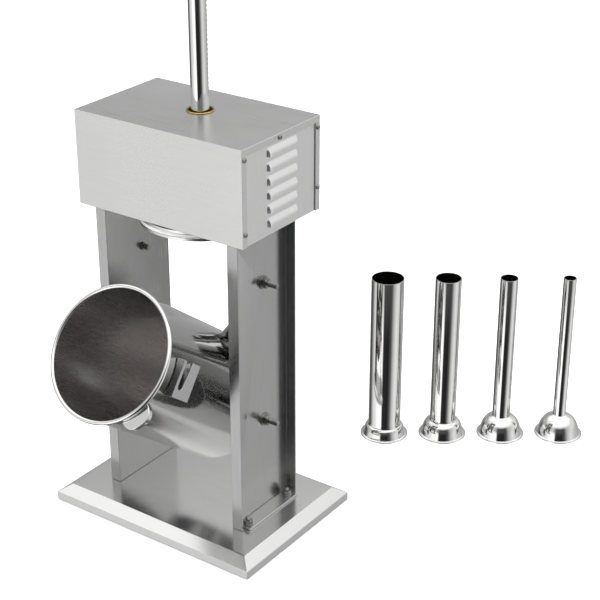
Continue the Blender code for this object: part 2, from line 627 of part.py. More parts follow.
def make_controls(back, face, parts, cutters):
    """The speed knob, the two rockers and the mains inlet, set in the rear cover."""
    knob = turned("speed_knob", [(0, 0.022), (0.015, 0.022), (0.017, 0.020), (0.0185, 0.003), (0.0185, 0.0005),
                                 (0.004, 0.0005), (0.004, -0.012), (0, -0.012)], parts, PLASTIC, sides=20, along="Y")
    knob.location = (0.095, face, 0.655)
    smooth(knob)
    cut(back, rod("knob_hole", 0.0045, (0.095, face - 0.02, 0.655), (0.095, face + 0.02, 0.655), cutters, sides=16))
    for name, x in (("power_switch", 0.030), ("direction_switch", -0.030)):
        turn = pivot(name + "_axis", (x, face, 0.655), parts)
        rocker = box(name, (-0.0095, -0.006, -0.014), (0.0095, 0.004, 0.014), parts, PLASTIC)
        for vertex in rocker.data.vertices:
            if vertex.co.y > 0:
                vertex.co.z *= 0.93
        bevel(rocker, 0.0008, 1)
        under(turn, rocker)
        cut(back, box(name + "_opening", (x - 0.0105, face - 0.02, 0.655 - 0.0160),
                      (x + 0.0105, face + 0.02, 0.655 + 0.0160), cutters))
    inlet = box("mains_inlet", (-0.124, face - 0.016, 0.588), (-0.076, face + 0.002, 0.614), parts, PLASTIC)
    cut(inlet, box("inlet_socket", (-0.112, face - 0.012, 0.592), (-0.088, face + 0.01, 0.610), cutters))
    cut(back, box("inlet_opening", (-0.1243, face - 0.02, 0.5877), (-0.0757, face + 0.02, 0.6143), cutters))


def make_nozzles(parts):
    """Four stuffing tubes: a straight tube on a domed foot with a flat flange."""
    wall = 0.0015
    for number, (size, outer, rise) in enumerate(NOZZLES):
        bore = outer - wall
        angles = [math.radians(a) for a in (15, 45, 78)]
        shoulder = [(outer + (NOZZLE_DOME - outer) * math.sin(a), rise * math.cos(a) + wall) for a in angles]
        inside = [(r - wall, z - wall) for r, z in reversed(shoulder)]
        profile = [(bore, NOZZLE_HEIGHT), (outer, NOZZLE_HEIGHT), (outer, rise + 0.006)] + shoulder
        profile += [(NOZZLE_FLANGE, wall), (NOZZLE_FLANGE, 0), (NOZZLE_DOME - wall, 0)] + inside
        profile += [(bore, rise + 0.005)]
        tube = turned(f"stuffing_tube_{size}", profile, parts, POLISHED, sides=20, ring=True)
        along = NOZZLE_STEP * number
        tube.location = (NOZZLE_START[0] + along * math.cos(NOZZLE_ANGLE),
                         NOZZLE_START[1] + along * math.sin(NOZZLE_ANGLE), 0)
        smooth(tube)


def main():
    for obj in list(bpy.data.objects):
        bpy.data.objects.remove(obj)
    parts = new_collection("sausage_stuffer")
    cutters = new_collection("cutters")
    make_base(parts, cutters)
    for side in (-1, 1):
        make_column(side, parts, cutters)
    make_cylinder(parts, cutters)
    make_piston(parts, cutters)
    make_head(parts, cutters)
    make_nozzles(parts)
    stand = pivot("stand", ROD_PLACE, parts)
    stand.scale = (SIZE, SIZE, SIZE)
    for obj in list(bpy.data.objects):
        if obj.parent is None and obj is not stand:
            obj.parent = stand


main()
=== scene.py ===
import json
import math

import bmesh
import bpy
from mathutils import Matrix, Vector


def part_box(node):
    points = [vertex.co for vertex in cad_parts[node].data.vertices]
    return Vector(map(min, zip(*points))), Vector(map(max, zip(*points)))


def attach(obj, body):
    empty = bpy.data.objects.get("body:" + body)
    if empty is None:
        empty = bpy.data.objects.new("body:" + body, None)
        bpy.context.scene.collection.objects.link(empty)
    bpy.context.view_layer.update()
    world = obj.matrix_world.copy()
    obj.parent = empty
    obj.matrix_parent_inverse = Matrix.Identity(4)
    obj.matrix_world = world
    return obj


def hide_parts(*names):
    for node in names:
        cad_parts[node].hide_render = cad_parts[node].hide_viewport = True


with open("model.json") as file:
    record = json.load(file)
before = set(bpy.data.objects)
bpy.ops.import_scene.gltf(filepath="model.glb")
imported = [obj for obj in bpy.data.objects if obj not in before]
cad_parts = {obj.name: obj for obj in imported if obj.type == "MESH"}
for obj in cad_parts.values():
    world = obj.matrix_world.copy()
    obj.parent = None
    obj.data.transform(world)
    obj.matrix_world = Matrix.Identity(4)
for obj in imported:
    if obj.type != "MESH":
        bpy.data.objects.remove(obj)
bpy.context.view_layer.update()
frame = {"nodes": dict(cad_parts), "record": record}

NODES = frame["nodes"]
BODIES = frame["record"]["behaviour"]["bodies"]
BODY_OF = {node: body for body, nodes in BODIES.items() for node in nodes}

# ------------------------------------------------------------------ the machine's own measures
# Lengths are those of the 219 mm frame of the range, from the piston rod's foot.
# SIZE makes them this machine's.
SIZE = 0.65
ROD_FOOT = Vector((-0.0794, -0.0946, 0))
TILT = math.radians(53.5)
PIVOT = Vector((0, -0.010, 0.203))
AXIS_Y = 0.010                    # the cylinder's axis, from its pivot
BORE, TUBE = 0.108, 0.1095        # the cylinder's inner and outer radius
MOUTH_Z, FLOOR_Z, LIP = 0.303, -0.042, 0.00375
OUTLET_Z, OUTLET_BORE = 0.009, 0.0385
OUTLET_THREAD, OUTLET_END = 0.0462, TUBE + 0.034
OUTLET_TURN = math.radians(-25)
PIVOT_LEVEL, CATCH_LEVEL = 0.203, 0.461
PISTON_BOTTOM, PISTON_TOP, PISTON_RADIUS = 0.543, 0.560, 0.1072
ROD_RADIUS, ROD_TOP = 0.015, 1.075
RACK_MODULE, RACK_TEETH, SHAFT_Z = 0.0025, 50, 0.645
HEAD_X, HEAD_Y, HEAD_MID_Y = 0.340, 0.208, -0.010
HEAD_BOTTOM, HEAD_TOP = 0.565, 0.728
SHEET = 0.0015
WEB_OUT = 0.130
GAP = 0.0004
MM = 0.001
CONTROLS_Z = 0.655

SHRINK = Matrix.Diagonal((SIZE, SIZE, SIZE, 1))
STAND = Matrix.Translation(ROD_FOOT) @ SHRINK
CYLINDER = STAND @ Matrix.Translation(PIVOT) @ Matrix.Rotation(TILT, 4, "X")
OUTLET = CYLINDER @ Matrix.Translation((0, AXIS_Y, OUTLET_Z)) @ Matrix.Rotation(OUTLET_TURN, 4, "Z")
TURN = {"X": Matrix.Rotation(math.pi / 2, 4, "Y"), "Y": Matrix.Rotation(-math.pi / 2, 4, "X"),
        "Z": Matrix.Identity(4)}


def at(x, y, z):
    return STAND @ Vector((x, y, z))


# ------------------------------------------------------------------ node materials
def new_material(name):
    made = bpy.data.materials.new(name)
    made.use_nodes = True
    nodes, links = made.node_tree.nodes, made.node_tree.links
    return made, nodes, links, nodes["Principled BSDF"]


def noise(nodes, links, stretch, scale, detail=4.0, roughness=0.55, tilt=0.0):
    """Noise over the object's own coordinates, turned back by the tilt and then stretched."""
    place = nodes.new("ShaderNodeTexCoord")
    turned = nodes.new("ShaderNodeMapping")
    turned.inputs["Rotation"].default_value = (-tilt, 0, 0)
    links.new(place.outputs["Object"], turned.inputs["Vector"])
    mapping = nodes.new("ShaderNodeMapping")
    mapping.inputs["Scale"].default_value = stretch
    links.new(turned.outputs["Vector"], mapping.inputs["Vector"])
    texture = nodes.new("ShaderNodeTexNoise")
    texture.inputs["Scale"].default_value = scale
    texture.inputs["Detail"].default_value = detail
    texture.inputs["Roughness"].default_value = roughness
    links.new(mapping.outputs["Vector"], texture.inputs["Vector"])
    return texture.outputs["Fac"]


def spread(nodes, links, value, low, high, out_low, out_high):
    """Maps low..high of a value to out_low..out_high."""
    node = nodes.new("ShaderNodeMapRange")
    node.inputs["From Min"].default_value = low
    node.inputs["From Max"].default_value = high
    node.inputs["To Min"].default_value = out_low
    node.inputs["To Max"].default_value = out_high
    links.new(value, node.inputs["Value"])
    return node.outputs["Result"]


def ramp(nodes, links, value, stops):
    node = nodes.new("ShaderNodeValToRGB")
    while len(node.color_ramp.elements) < len(stops):
        node.color_ramp.elements.new(0.5)
    for element, (place, colour) in zip(node.color_ramp.elements, stops):
        element.position = place
        element.color = (*colour, 1)
    links.new(value, node.inputs["Fac"])
    return node.outputs["Color"]


def add(nodes, links, a, b, operation="ADD"):
    node = nodes.new("ShaderNodeMath")
    node.operation = operation
    links.new(a, node.inputs[0])
    links.new(b, node.inputs[1])
    return node.outputs["Value"]


def bump(nodes, links, height, strength, distance, before=None):
    node = nodes.new("ShaderNodeBump")
    node.inputs["Strength"].default_value = strength
    node.inputs["Distance"].default_value = distance
    links.new(height, node.inputs["Height"])
    if before is not None:
        links.new(before, node.inputs["Normal"])
    return node.outputs["Normal"]


def steel(name, tone, rough, grain, contrast=0.05, tilt=0.0, tint=(1.0, 0.998, 0.994)):
    """Stainless sheet: a fine grain along one axis, uneven sheen and faint handling marks."""
    made, nodes, links, shader = new_material(name)
    stretch = {"X": (1, 90, 90), "Y": (90, 1, 90), "Z": (90, 90, 1)}[grain]
    lines = noise(nodes, links, stretch, 24.0, 3.0, 0.6, tilt)
    patches = noise(nodes, links, (1, 1, 1), 9.0, 3.0, 0.5)
    marks = noise(nodes, links, (1, 1, 1), 95.0, 2.0, 0.5)
    low = [(1 - contrast) * c * tone for c in tint]
    high = [(1 + contrast) * c * tone for c in tint]
    links.new(ramp(nodes, links, lines, ((0.25, low), (0.75, high))), shader.inputs["Base Color"])
    sheen = spread(nodes, links, lines, 0.3, 0.7, rough - 0.03, rough + 0.03)
    handled = spread(nodes, links, patches, 0.35, 0.75, -0.02, 0.04)
    links.new(add(nodes, links, sheen, handled), shader.inputs["Roughness"])
    fine = bump(nodes, links, lines, 0.06, 0.00004)
    links.new(bump(nodes, links, marks, 0.03, 0.00008, fine), shader.inputs["Normal"])
    shader.inputs["Metallic"].default_value = 0.96
    return made


def polished(name, tone, rough, wave):
    """Polished stainless: a clear mirror with faint rolling waves, swirl marks and cloudy patches."""
    made, nodes, links, shader = new_material(name)
    cloud = noise(nodes, links, (1, 1, 1), 11.0, 3.0, 0.5)
    swirl = noise(nodes, links, (8, 8, 40), 30.0, 5.0, 0.65)
    waves = noise(nodes, links, (1, 1, 0.4), 14.0, 1.0, 0.4)
    low, high = [0.93 * c * tone for c in (1.0, 0.995, 0.985)], [1.03 * c * tone for c in (1.0, 1.0, 0.998)]
    links.new(ramp(nodes, links, cloud, ((0.35, low), (0.65, high))), shader.inputs["Base Color"])
    even = spread(nodes, links, cloud, 0.35, 0.7, rough, rough + 0.04)
    lines = spread(nodes, links, swirl, 0.4, 0.7, 0.0, 0.03)
    links.new(add(nodes, links, even, lines), shader.inputs["Roughness"])
    links.new(bump(nodes, links, waves, wave, 0.0012), shader.inputs["Normal"])
    shader.inputs["Metallic"].default_value = 1.0
    return made


def plastic(name, colour, rough, grain=0.2):
    """Moulded plastic or rubber: a fine spark-eroded grain and slightly uneven gloss."""
    made, nodes, links, shader = new_material(name)
    fine = noise(nodes, links, (1, 1, 1), 900.0, 3.0, 0.6)
    broad = noise(nodes, links, (1, 1, 1), 25.0, 2.0, 0.5)
    low, high = [0.85 * c for c in colour], [1.12 * c for c in colour]
    links.new(ramp(nodes, links, broad, ((0.3, low), (0.7, high))), shader.inputs["Base Color"])
    links.new(spread(nodes, links, broad, 0.3, 0.7, rough - 0.05, rough + 0.07), shader.inputs["Roughness"])
    links.new(bump(nodes, links, fine, grain, 0.00005), shader.inputs["Normal"])
    return made


def metal(name, low, high, rough, scale=40.0, grain=0.15):
    """A cast or turned metal with mottled tone and fine tool marks."""
    made, nodes, links, shader = new_material(name)
    broad = noise(nodes, links, (1, 1, 1), scale, 4.0, 0.6)
    fine = noise(nodes, links, (3, 3, 120), 30.0, 3.0, 0.6)
    links.new(ramp(nodes, links, broad, ((0.3, low), (0.7, high))), shader.inputs["Base Color"])
    links.new(spread(nodes, links, broad, 0.3, 0.7, rough - 0.05, rough + 0.08), shader.inputs["Roughness"])
    links.new(bump(nodes, links, fine, grain, 0.0001), shader.inputs["Normal"])
    shader.inputs["Metallic"].default_value = 1.0
    return made


HEAD_STEEL = steel("head_sheet", 0.66, 0.30, "X")
# the head's side panels are the same stainless sheet as the head cover, drawn with a higher tone: painted
# light
LIT_SIDE_STEEL = steel("side_sheet_painted_light", 0.76, 0.32, "Z")
# the columns are the same stainless sheet as the head, drawn with a lower tone: painted shade on the webs
SHADED_COLUMN_STEEL = steel("column_sheet_painted_shade", 0.46, 0.22, "Z", contrast=0.10)
BASE_STEEL = steel("base_sheet", 0.63, 0.17, "X")
BRACKET_STEEL = steel("bracket_sheet", 0.50, 0.18, "Y")
MIRROR = polished("polished_tube", 0.44, 0.05, 0.03)
INSIDE = steel("cylinder_inside", 0.53, 0.25, "Z", contrast=0.12, tilt=TILT, tint=(1.0, 0.965, 0.95))
LIP_METAL = polished("rolled_lip", 0.86, 0.12, 0.02)
CHROME = polished("chromed_rod", 0.74, 0.04, 0.01)
TUBE_METAL = polished("stuffing_tube_metal", 0.76, 0.05, 0.02)
PISTON_METAL = steel("piston_metal", 0.72, 0.28, "X")
ZINC = metal("plated_steel", (0.24, 0.24, 0.24), (0.46, 0.46, 0.45), 0.30, 120.0)
DULL_ZINC = metal("chassis_steel", (0.36, 0.37, 0.37), (0.50, 0.50, 0.49), 0.45, 60.0)
GEAR_IRON = metal("gear_iron", (0.10, 0.10, 0.11), (0.20, 0.20, 0.21), 0.42, 90.0)
BRASS = metal("turned_brass", (0.34, 0.24, 0.08), (0.60, 0.46, 0.20), 0.26, 120.0)
BLACK = plastic("black_moulding", (0.022, 0.022, 0.024), 0.42)
ROCKER = plastic("rocker_moulding", (0.014, 0.014, 0.015), 0.22, 0.05)
RUBBER = plastic("foot_rubber", (0.020, 0.020, 0.020), 0.72, 0.5)
SEAL = plastic("seal_silicone", (0.74, 0.74, 0.72), 0.38, 0.1)
WHITE_MARK = plastic("white_paint", (0.85, 0.85, 0.83), 0.5, 0.0)


# ------------------------------------------------------------------ building pieces
def shade(obj, angle=38):
    obj.data.shade_smooth()
    obj.data.set_sharp_from_angle(angle=math.radians(angle))
    return obj


def piece(name, mesh, body, paint, stands_for=(), angle=38):
    obj = bpy.data.objects.new(name, mesh)
    bpy.context.scene.collection.objects.link(obj)
    obj.data.materials.clear()
    obj.data.materials.append(paint)
    shade(obj, angle)
    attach(obj, body)
    if stands_for:
        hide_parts(*stands_for)
    return obj


def apply_modifiers(obj):
    """The object's mesh with its modifiers worked in."""
    bpy.context.view_layer.update()
    graph = bpy.context.evaluated_depsgraph_get()
    mesh = bpy.data.meshes.new_from_object(obj.evaluated_get(graph))
    obj.modifiers.clear()
    obj.data = mesh
    return obj


def rounded(obj, width, segments=2, angle=35):
    modifier = obj.modifiers.new("Edges", "BEVEL")
    modifier.width = width
    modifier.segments = segments
    modifier.limit_method = "ANGLE"
    modifier.angle_limit = math.radians(angle)
    modifier.harden_normals = True
    return obj


def refined(node, paint, width=0.0004, segments=2, angle=35):
    """A piece that follows a CAD node's solid, with edges sharper than the angle rolled over."""
    bm = bmesh.new()
    bm.from_mesh(NODES[node].data)
    bmesh.ops.remove_doubles(bm, verts=bm.verts, dist=0.000005)
    bmesh.ops.dissolve_limit(bm, angle_limit=math.radians(1), verts=bm.verts, edges=bm.edges)
    mesh = bpy.data.meshes.new(node + "_piece")
    bm.to_mesh(mesh)
    bm.free()
    obj = piece(mesh.name, mesh, BODY_OF[node], paint, (node,), angle)
    rounded(obj, width, segments, angle)
    return obj


def lathe_mesh(name, profile, place, axis="Z", sides=64, ring=False):
    """Turns (radius, height) points about an axis through place, a matrix."""
    bm = bmesh.new()
    rows = []
    for radius, height in profile:
        if radius < 1e-7:
            rows.append([bm.verts.new((0, 0, height))])
        else:
            turns = [2 * math.pi * i / sides for i in range(sides)]
            rows.append([bm.verts.new((radius * math.cos(a), radius * math.sin(a), height)) for a in turns])
    pairs = list(zip(rows, rows[1:]))
    if ring:
        pairs.append((rows[-1], rows[0]))
    for upper, lower in pairs:
        for i in range(sides):
            j = (i + 1) % sides
            if len(upper) == 1:
                bm.faces.new((upper[0], lower[i], lower[j]))
            elif len(lower) == 1:
                bm.faces.new((upper[i], lower[0], upper[j]))
            else:
                bm.faces.new((upper[i], lower[i], lower[j], upper[j]))
    bmesh.ops.recalc_face_normals(bm, faces=bm.faces)
    bmesh.ops.transform(bm, matrix=place @ TURN[axis], verts=bm.verts)
    mesh = bpy.data.meshes.new(name)
    bm.to_mesh(mesh)
    bm.free()
    return mesh


def box_mesh(name, low, high, place):
    bm = bmesh.new()
    bmesh.ops.create_cube(bm, size=1.0)
    for vertex in bm.verts:
        vertex.co = Vector([a + (c + 0.5) * (b - a) for a, b, c in zip(low, high, vertex.co)])
    bmesh.ops.transform(bm, matrix=place, verts=bm.verts)
    mesh = bpy.data.meshes.new(name)
    bm.to_mesh(mesh)
    bm.free()
    return mesh


def carve(obj, *meshes, operation="DIFFERENCE"):
    """Cuts each mesh out of the object, or joins it on, and leaves a plain mesh."""
    guides = []
    for mesh in meshes:
        guide = bpy.data.objects.new("guide", mesh)
        bpy.context.scene.collection.objects.link(guide)
        modifier = obj.modifiers.new("Carve", "BOOLEAN")
        modifier.operation = operation
        modifier.solver = "EXACT"
        modifier.object = guide
        guides.append(guide)
    apply_modifiers(obj)
    for guide in guides:
        bpy.data.objects.remove(guide)
    return obj


def arc(centre, radius, start, end, steps):
    angles = [math.radians(start + (end - start) * i / steps) for i in range(steps + 1)]
    return [(centre[0] + radius * math.cos(a), centre[1] + radius * math.sin(a)) for a in angles]


def thread(radius, start, end, pitch, depth):
    """A profile that zigzags like a thread, from start up to end."""
    turns = max(1, round(abs(end - start) / pitch))
    step = (end - start) / turns
    points = []
    for turn in range(turns):
        low = start + step * turn
        points += [(radius - depth, low), (radius, low + step * 0.35), (radius, low + step * 0.65)]
    return points + [(radius - depth, end)]


# ------------------------------------------------------------------ base and columns
def make_base():
    refined("base_pan", BASE_STEEL, 0.0012, 3, 10)
    for side in ("left", "right"):
        for end in ("front", "back"):
            refined(f"rubber_foot_{side}_{end}", RUBBER, 0.0006)


def make_nut(name, node, flats, x_low, x_high, hole, centre, side):
    """A hexagon nut with chamfered corners, on its washer, outside a column's web."""
    place = STAND @ Matrix.Translation(centre)
    low, high = sorted((side * x_low, side * x_high))
    outer, inner = (x_high, x_low) if side > 0 else (-x_high, -x_low)
    chamfer = 0.0016 * side
    corner = flats / math.sqrt(3)
    blank = piece(name, lathe_mesh(name, [
        (hole, outer), (flats / 2 * 0.97, outer), (corner + 0.0002, outer - chamfer * 1.2),
        (corner + 0.0002, inner), (hole, inner)], place, "X", 48, ring=True), "frame", ZINC, (node,), 25)
    for face in range(6):
        angle = math.radians(60 * face + 12)
        turn = Matrix.Rotation(angle, 4, "X")
        cutter = box_mesh("flat", (low - 0.01, -0.03, flats / 2), (high + 0.01, 0.03, flats), place @ turn)
        carve(blank, cutter)
    shade(blank, 25)
    washer_end = x_low + 0.0022
    washer = [(hole, washer_end), (0.0112, washer_end), (0.0117, washer_end - 0.0005),
              (0.0117, x_low + 0.0004), (hole, x_low + 0.0004)]
    washer = [(r, side * x) for r, x in washer]
    piece(name + "_washer", lathe_mesh(name + "_washer", washer, place, "X", 40, ring=True), "frame", ZINC)
    return blank


def make_columns():
    for side, name in ((-1, "left"), (1, "right")):
        refined(f"column_{name}", SHADED_COLUMN_STEEL, 0.0007, 3)
        refined(f"foot_plate_{name}", BASE_STEEL, 0.0004)
        for height, level in ((PIVOT_LEVEL, "pivot"), (CATCH_LEVEL, "catch")):
            inside = 0.006 if level == "pivot" else 0.005
            collar = 0.009 if level == "pivot" else 0.0075
            centre = Vector((0, PIVOT.y, height))
            profile = [(0, 0.114), (inside - 0.0008, 0.114), (inside, 0.1148), (inside, 0.1237),
                       (collar - 0.0004, 0.1237), (collar, 0.1241), (collar, 0.1263),
                       (collar - 0.0004, 0.1267), (0.0048, 0.1267), (0.0048, 0.1302)]
            profile += thread(0.0050, 0.1305, 0.1580, 0.0015, 0.0006) + [(0.0036, 0.1588), (0, 0.1588)]
            profile = [(r, side * x) for r, x in profile]
            piece(f"{level}_pin_{name}_piece", lathe_mesh(f"{level}_pin_{name}", profile,
                  STAND @ Matrix.Translation(centre), "X", 40), "frame", ZINC, (f"{level}_pin_{name}",), 30)
            make_nut(f"{level}_nut_{name}_piece", f"{level}_nut_{name}", 0.016,
                     WEB_OUT, WEB_OUT + 0.0105, 0.0053, centre, side)
        for end in ("front", "back"):
            node = f"foot_bolt_{name}_{end}"
            low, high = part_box(node)
            middle = (low + high) / 2
            foot = Matrix.Translation(Vector((middle.x, middle.y, low.z))) @ SHRINK
            tall = (high.z - low.z) / SIZE
            stud = [(0, tall), (0.0032, tall), (0.0038, tall - 0.0007)]
            stud += thread(0.0039, tall - 0.001, 0.0080, 0.0012, 0.0005)
            stud += [(0.0074, 0.0078), (0.0083, 0.0070), (0.0083, 0.0020), (0.0088, 0.0017)]
            stud += [(0.0088, 0.0), (0, 0.0)]
            bolt = piece(node + "_piece", lathe_mesh(node, stud, foot, "Z", 36), "frame", ZINC, (node,), 25)
            for face in range(6):
                turn = Matrix.Rotation(math.radians(60 * face + 20), 4, "Z")
                carve(bolt, box_mesh("flat", (0.0072, -0.02, 0.0021), (0.02, 0.02, 0.02), foot @ turn))
            shade(bolt, 25)


# ------------------------------------------------------------------ the cylinder
def make_cylinder():
    inner_floor = FLOOR_Z + 0.002
    lip_z = MOUTH_Z - LIP
    axis = CYLINDER @ Matrix.Translation((0, AXIS_Y, 0))
    outer = arc((BORE + LIP, lip_z), LIP, 90, -120, 14)
    outer += [(TUBE + 0.0006, lip_z - 0.0042), (TUBE, lip_z - 0.0058), (TUBE, FLOOR_Z + 0.008)]
    outer += arc((TUBE - 0.008, FLOOR_Z + 0.008), 0.008, 0, -90, 6)
    outer += [(0, FLOOR_Z)]
    inner = [(0, inner_floor), (BORE - 0.008, inner_floor)]
    inner += arc((BORE - 0.008, inner_floor + 0.008), 0.008, -90, 0, 6)
    inner += arc((BORE + LIP, lip_z), LIP, 180, 90, 6)
    tube = piece("cylinder_piece", lathe_mesh("cylinder_piece", inner + outer[1:], axis, "Z", 160),
                 "cylinder", MIRROR, ("cylinder",), 40)
    drill = [(0, 0.03), (OUTLET_BORE, 0.03), (OUTLET_BORE, -0.03), (0, -0.03)]
    carve(tube, lathe_mesh("outlet", drill, OUTLET @ Matrix.Translation((0, TUBE, 0)), "Y", 72))
    tube.data.materials.clear()
    for paint in (MIRROR, INSIDE, LIP_METAL):
        tube.data.materials.append(paint)
    back = axis.inverted()
    for face in tube.data.polygons:
        middle = back @ face.center
        radius = math.hypot(middle.x, middle.y)
        normal = (back.to_3x3() @ face.normal).normalized()
        inward = normal.x * middle.x + normal.y * middle.y < 0
        if middle.z > MOUTH_Z - 2 * LIP - 0.0005 and radius > BORE + 0.0002:
            face.material_index = 2
        elif radius < BORE - 0.0002 and middle.z > FLOOR_Z + 0.0005 or inward:
            face.material_index = 1
    shade(tube, 40)

    for name in ("left", "right"):
        refined(f"catch_bracket_{name}", BRACKET_STEEL, 0.0006, 3)
        refined(f"pivot_boss_{name}", BRACKET_STEEL, 0.0004)
    refined("cylinder_pull", LIP_METAL, 0.0022, 4)
    neck, root = OUTLET_THREAD - 0.0007, TUBE - 0.0145
    spigot = [(OUTLET_BORE, OUTLET_END), (neck - 0.0007, OUTLET_END), (neck, OUTLET_END - 0.0008)]
    spigot += thread(OUTLET_THREAD, OUTLET_END - 0.0015, OUTLET_END - 0.0235, 0.0030, 0.0014)
    spigot += [(neck, OUTLET_END - 0.0245), (neck, root), (OUTLET_BORE, root)]
    mesh = lathe_mesh("outlet_spigot_piece", spigot, OUTLET, "Y", 72, ring=True)
    body = piece(mesh.name, mesh, "cylinder", MIRROR, ("outlet_spigot",), 30)
    wall = [(0, 0.2), (TUBE + 0.0002, 0.2), (TUBE + 0.0002, -0.1), (0, -0.1)]
    carve(body, lathe_mesh("wall", wall, axis, "Z", 160))
    shade(body, 30)
    refined("outlet_ring_nut", TUBE_METAL, 0.0006, 3)


# ------------------------------------------------------------------ piston, rod and valve
def make_piston():
    low, high, rim = PISTON_BOTTOM, PISTON_TOP, PISTON_RADIUS
    disc = [(0.0083, high), (rim - 0.0008, high), (rim, high - 0.0008), (rim, high - 0.005),
            (rim - 0.004, high - 0.005), (rim - 0.004, low + 0.005), (rim, low + 0.005),
            (rim, low + 0.0008), (rim - 0.0008, low), (0.017, low), (0.017, low + 0.009),
            (0.0083, low + 0.009)]
    disc_piece = piece("piston_piece", lathe_mesh("piston_piece", disc, STAND, "Z", 160, ring=True),
                       "piston", PISTON_METAL, ("piston",), 30)
    valve_low, valve_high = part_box("air_valve")
    hole = (valve_low + valve_high) / 2
    drill = Matrix.Translation(Vector((hole.x, hole.y, 0))) @ SHRINK
    through = [(0, high + 0.02), (0.0043, high + 0.02), (0.0043, low - 0.013), (0, low - 0.013)]
    carve(disc_piece, lathe_mesh("drill", through, drill, "Z", 24))
    shade(disc_piece, 30)
    seal = [(rim - 0.0036, high - 0.0055), (rim - 0.0002, high - 0.0055), (rim + 0.0004, high - 0.0065),
            (rim - 0.0004, high - 0.0085), (rim + 0.0004, low + 0.0065), (rim - 0.0002, low + 0.0055),
            (rim - 0.0036, low + 0.0055)]
    piece("piston_seal_piece", lathe_mesh("piston_seal_piece", seal, STAND, "Z", 160, ring=True),
          "piston", SEAL, ("piston_seal",), 50)
    refined("piston_nut", LIP_METAL, 0.0004)
    valve = [(0, high + 0.0035), (0.0052, high + 0.0035), (0.0065, high + 0.0025), (0.0065, high + 0.0016),
             (0.0040, high + 0.0015), (0.0040, low + 0.0003), (0.0036, low), (0, low)]
    piece("air_valve_piece", lathe_mesh("air_valve_piece", valve, drill, "Z", 32), "air_valve", SEAL,
          ("air_valve",), 30)

    radius, top = ROD_RADIUS, ROD_TOP
    rod = [(0, top), (radius - 0.0022, top), (radius - 0.0006, top - 0.0008), (radius, top - 0.0024),
           (radius, high + GAP), (0.008, high + GAP), (0.008, low + 0.0095), (0.0059, low + 0.0095),
           (0.0059, low + 0.001), (0, low + 0.001)]
    rod_piece = piece("piston_rod_piece", lathe_mesh("piston_rod_piece", rod, STAND, "Z", 72),
                      "piston", CHROME, ("piston_rod",), 30)
    carve(rod_piece, rack_cutter())
    shade(rod_piece, 30)


def rack_cutter():
    """What is cut from the rod's back to leave the rack's teeth."""
    flat, depth, wide, behind = 0.0115, 2.25 * RACK_MODULE, 0.02, 0.03
    pitch, teeth = math.pi * RACK_MODULE, RACK_TEETH
    first = SHAFT_Z - pitch * 4.25
    points = [(flat, first - pitch / 2)]
    for tooth in range(teeth):
        low = first + pitch * tooth
        points += [(flat, low - pitch * 0.16), (flat - depth, low + pitch * 0.11),
                   (flat - depth, low + pitch * 0.39), (flat, low + pitch * 0.66)]
    points += [(flat, first + pitch * (teeth - 0.10)), (behind, first + pitch * (teeth - 0.10)),
               (behind, first - pitch / 2)]
    bm = bmesh.new()
    left = [bm.verts.new((-wide, y, z)) for y, z in points]
    right = [bm.verts.new((wide, y, z)) for y, z in points]
    count = len(points)
    for i in range(count):
        j = (i + 1) % count
        bm.faces.new((left[i], left[j], right[j], right[i]))
    for loop in (left, right):
        bm.faces.new(loop)
    bmesh.ops.triangulate(bm, faces=[f for f in bm.faces if len(f.verts) > 4])
    bmesh.ops.recalc_face_normals(bm, faces=bm.faces)
    bmesh.ops.transform(bm, matrix=STAND, verts=bm.verts)
    mesh = bpy.data.meshes.new("rack_cutter")
    bm.to_mesh(mesh)
    bm.free()
    return mesh


